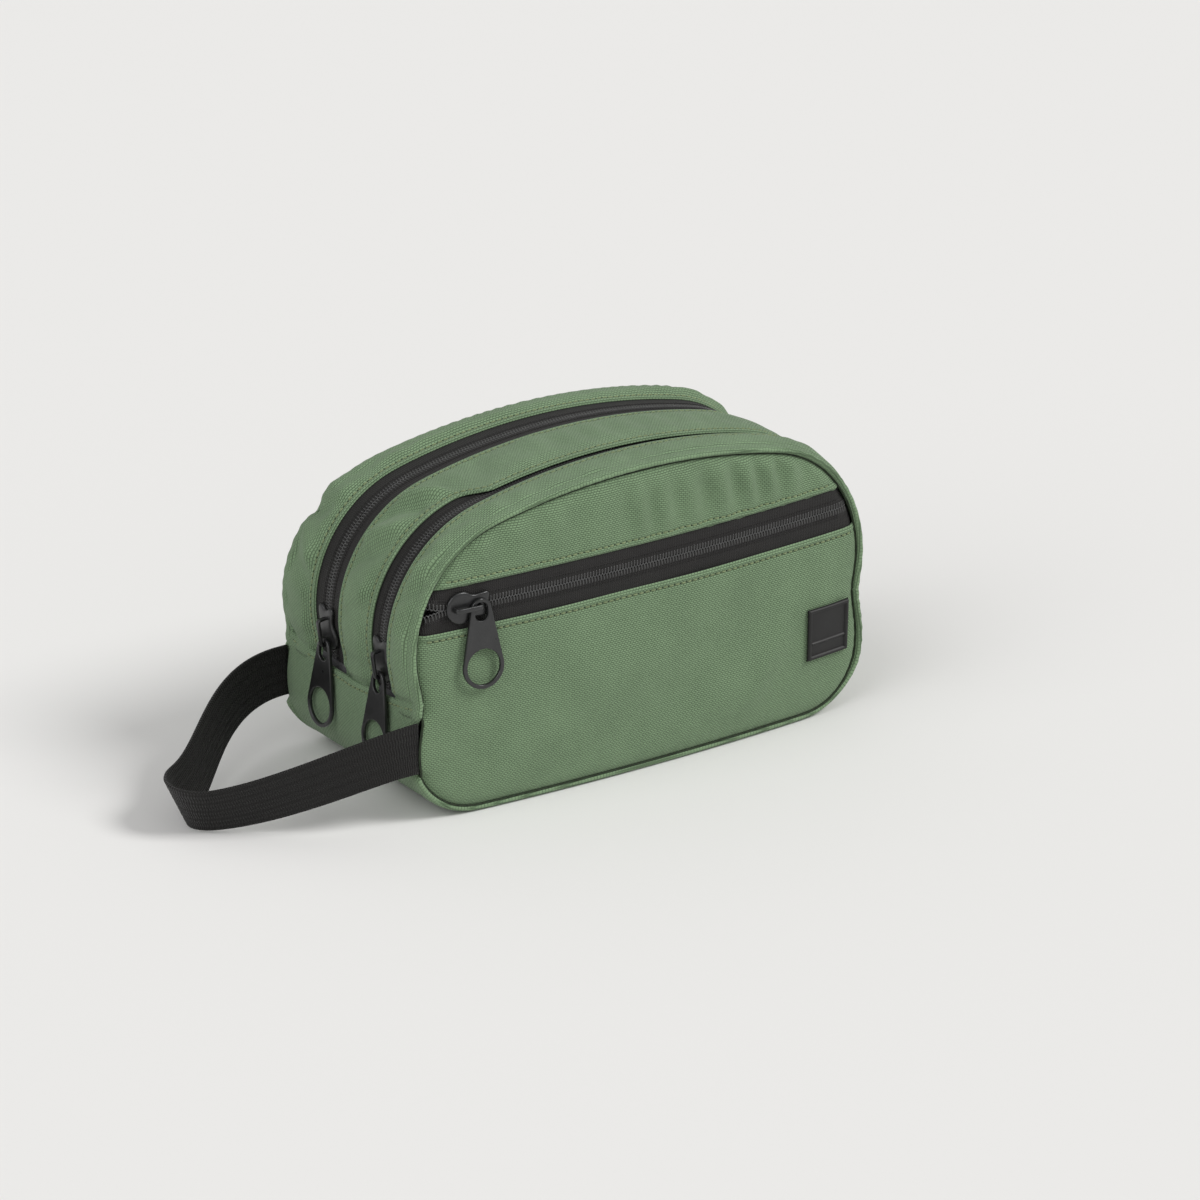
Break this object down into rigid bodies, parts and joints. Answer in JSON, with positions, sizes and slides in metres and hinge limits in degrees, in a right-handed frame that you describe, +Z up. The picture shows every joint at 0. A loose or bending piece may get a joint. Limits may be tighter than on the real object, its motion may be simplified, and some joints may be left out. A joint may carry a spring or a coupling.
{
  "type": "wash bag",
  "caption": "Green fabric wash bag with an arched top, two zipped compartments, a zipped front pocket and a webbing handle on one end.",
  "frame": {"origin": "on the floor under the middle of the bag's base", "axes": "+X along the bag away from the handle, -Y the face with the pocket, +Z up"},
  "size_m": [0.3459, 0.1222, 0.148],
  "materials": {
    "shell_fabric": "fine ribbed weave, dull green",
    "lining_fabric": "smooth thin dark grey lining",
    "zip_tape": "black woven tape",
    "zip_coil": "black nylon coil",
    "seam_binding": "black ribbed binding tape",
    "label_rubber": "matt black soft rubber",
    "black_metal": "satin black coated zinc",
    "handle_webbing": "black ribbed webbing"
  },
  "bodies": {
    "bag": {"front_pocket_panel": "shell_fabric", "front_upper_panel": "shell_fabric", "pocket_back_panel": "lining_fabric", "back_panel": "shell_fabric", "base_gusset": "shell_fabric", "front_gusset_strip": "shell_fabric", "middle_gusset_strip": "shell_fabric", "rear_gusset_strip": "shell_fabric", "divider_panel": "lining_fabric", "front_lining": "lining_fabric", "rear_lining": "lining_fabric", "front_seam_binding": "seam_binding", "rear_seam_binding": "seam_binding", "label_patch": "label_rubber", "front_zip_lower_tape": "zip_tape", "front_zip_upper_tape": "zip_tape", "front_zip_lower_coil": "zip_coil", "front_zip_upper_coil": "zip_coil", "top_front_zip_front_tape": "zip_tape", "top_front_zip_rear_tape": "zip_tape", "top_front_zip_front_coil": "zip_coil", "top_front_zip_rear_coil": "zip_coil", "top_rear_zip_front_tape": "zip_tape", "top_rear_zip_rear_tape": "zip_tape", "top_rear_zip_front_coil": "zip_coil", "top_rear_zip_rear_coil": "zip_coil"},
    "front_slider": {"front_slider": "black_metal"},
    "front_pull": {"front_pull": "black_metal"},
    "top_front_slider": {"top_front_slider": "black_metal"},
    "top_front_pull": {"top_front_pull": "black_metal"},
    "top_rear_slider": {"top_rear_slider": "black_metal"},
    "top_rear_pull": {"top_rear_pull": "black_metal"},
    "handle": {"handle_strap": "handle_webbing"}
  },
  "joints": [
    {"name": "front_zip_travel", "type": "hinge", "parent": "bag", "child": "front_slider", "pos_m": [0, 1.14117, 0.102], "axis": [0, 0, 1], "range_deg": [0, 9.3]},
    {"name": "front_pull_swing", "type": "hinge", "parent": "front_slider", "child": "front_pull", "pos_m": [-0.09181, -0.06046, 0.10225], "axis": [-0.0803, -0.994, 0.0744], "range_deg": [-48, 95]},
    {"name": "top_front_zip_travel", "type": "hinge", "parent": "bag", "child": "top_front_slider", "pos_m": [-0.065, -0.028, 0.08], "axis": [0, 1, 0], "range_deg": [0, 73.5]},
    {"name": "top_front_pull_lift", "type": "hinge", "parent": "top_front_slider", "child": "top_front_pull", "pos_m": [-0.12585, -0.028, 0.06623], "axis": [0, 1, 0], "range_deg": [0, 130]},
    {"name": "top_rear_zip_travel", "type": "hinge", "parent": "bag", "child": "top_rear_slider", "pos_m": [-0.065, 0.018, 0.08], "axis": [0, 1, 0], "range_deg": [0, 73.5]},
    {"name": "top_rear_pull_lift", "type": "hinge", "parent": "top_rear_slider", "child": "top_rear_pull", "pos_m": [-0.12585, 0.018, 0.06623], "axis": [0, 1, 0], "range_deg": [0, 130]},
    {"name": "handle_lift", "type": "hinge", "parent": "bag", "child": "handle", "pos_m": [-0.1262, 0, 0.038], "axis": [0, 1, 0], "range_deg": [0, 80], "deforming": ["handle_strap"]}
  ]
}
